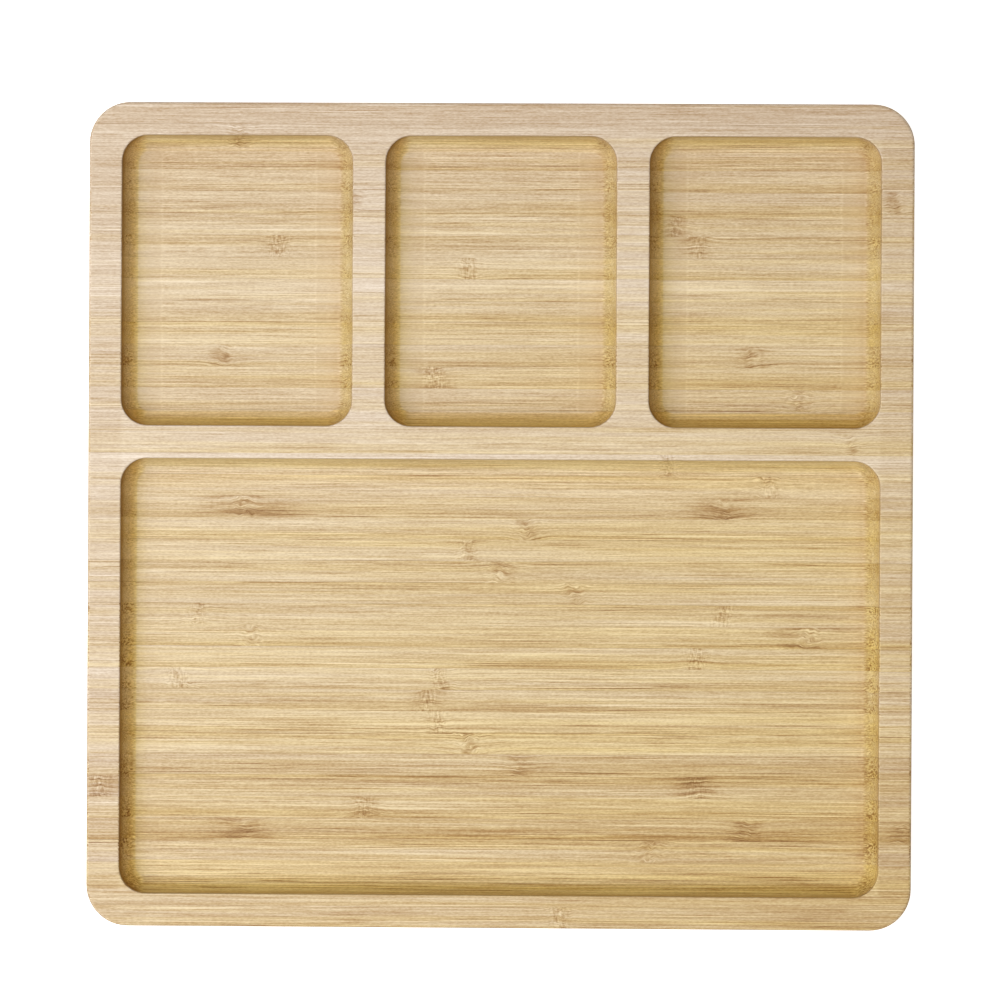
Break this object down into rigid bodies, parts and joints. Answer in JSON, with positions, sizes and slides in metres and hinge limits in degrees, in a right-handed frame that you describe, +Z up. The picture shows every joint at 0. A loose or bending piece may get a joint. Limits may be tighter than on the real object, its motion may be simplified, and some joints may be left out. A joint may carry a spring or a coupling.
{
  "type": "divided compartment plate",
  "caption": "Square bamboo serving plate with rounded corners: a wide compartment in front and a row of small ones behind, routed with coved walls into a panel of glued strips.",
  "frame": {"origin": "centre of the flat underside", "axes": "+Z up, out of the compartments; +Y towards the row of small compartments; X along the bamboo strips"},
  "size_m": [0.25, 0.25, 0.015],
  "materials": {
    "bamboo": "sanded side-pressed bamboo with a thin satin food-safe oil"
  },
  "bodies": {
    "root": {"strip_01": "bamboo", "strip_02": "bamboo", "strip_03": "bamboo", "strip_04": "bamboo", "strip_05": "bamboo", "strip_06": "bamboo", "strip_07": "bamboo", "strip_08": "bamboo", "strip_09": "bamboo", "strip_10": "bamboo", "strip_11": "bamboo", "strip_12": "bamboo", "strip_13": "bamboo", "strip_14": "bamboo", "strip_15": "bamboo", "strip_16": "bamboo", "strip_17": "bamboo", "strip_18": "bamboo", "strip_19": "bamboo", "strip_20": "bamboo", "strip_21": "bamboo", "strip_22": "bamboo", "strip_23": "bamboo", "strip_24": "bamboo", "strip_25": "bamboo", "strip_26": "bamboo", "strip_27": "bamboo", "strip_28": "bamboo", "strip_29": "bamboo", "strip_30": "bamboo", "strip_31": "bamboo", "strip_32": "bamboo", "strip_33": "bamboo", "strip_34": "bamboo", "strip_35": "bamboo", "strip_36": "bamboo", "strip_37": "bamboo", "strip_38": "bamboo"}
  },
  "joints": []
}
